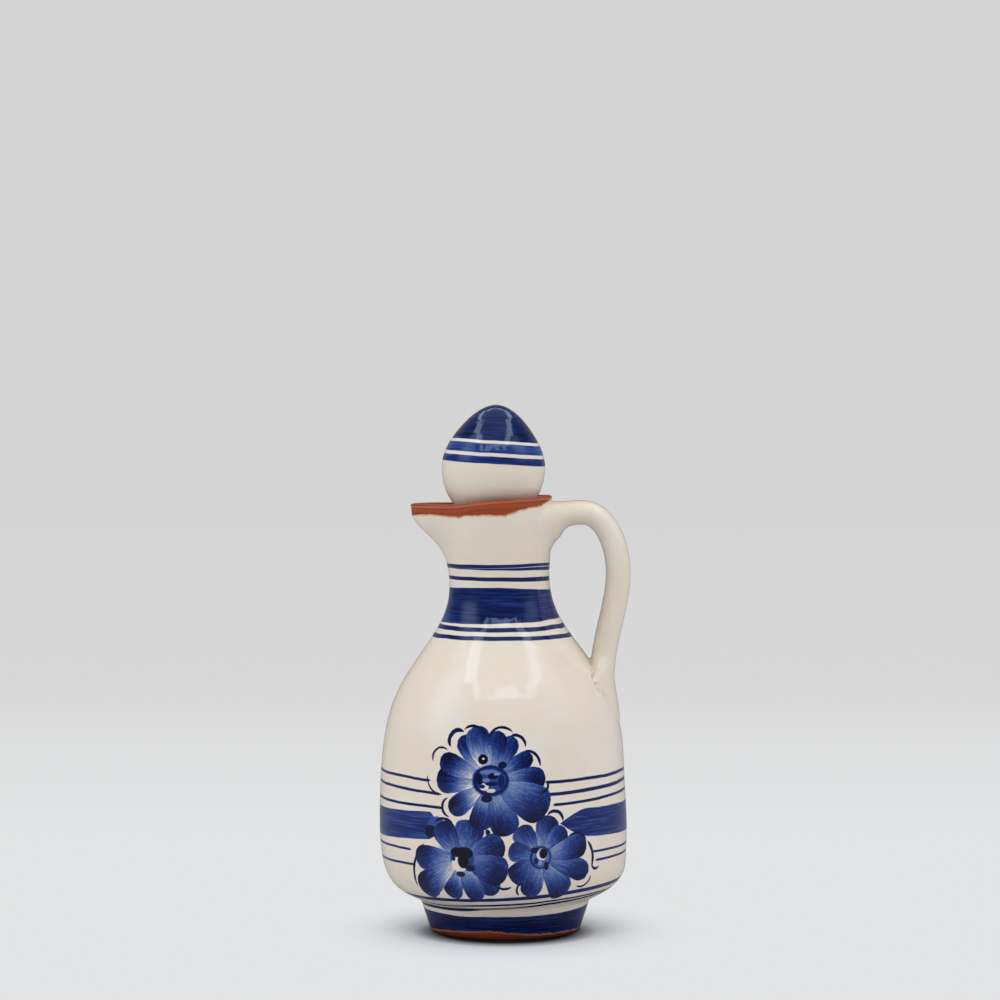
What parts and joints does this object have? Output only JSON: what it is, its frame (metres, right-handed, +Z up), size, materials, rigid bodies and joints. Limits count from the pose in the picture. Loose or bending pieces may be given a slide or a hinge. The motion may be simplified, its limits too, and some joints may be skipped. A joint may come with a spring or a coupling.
{
  "type": "oil carafe",
  "caption": "Glazed earthenware oil jug with pulled spout, strap handle and a lift-out stopper: hollow egg-shaped knob on a tapered cork, cream glaze with blue bands and flowers.",
  "frame": {"origin": "centre of the foot's flat underside, on the table", "axes": "+Z up through the body, spout towards -X, handle towards +X, painted front towards -Y"},
  "size_m": [0.1002, 0.0988, 0.2092],
  "materials": {
    "jug_glaze": "glossy cream tin glaze on red clay, cobalt blue brushwork, bare clay at rim and foot",
    "handle_glaze": "glossy cream tin glaze",
    "knob_glaze": "glossy cream tin glaze with a cobalt blue cap and bands",
    "cork": "matt natural cork with dark pores"
  },
  "bodies": {
    "jug": {"jug_body": "jug_glaze", "handle": "handle_glaze"},
    "stopper": {"stopper_knob": "knob_glaze", "stopper_cork": "cork"}
  },
  "joints": [
    {"name": "stopper_lift", "type": "slide", "parent": "jug", "child": "stopper", "axis": [0, 0, 1], "range_m": [0, 0.045]}
  ]
}
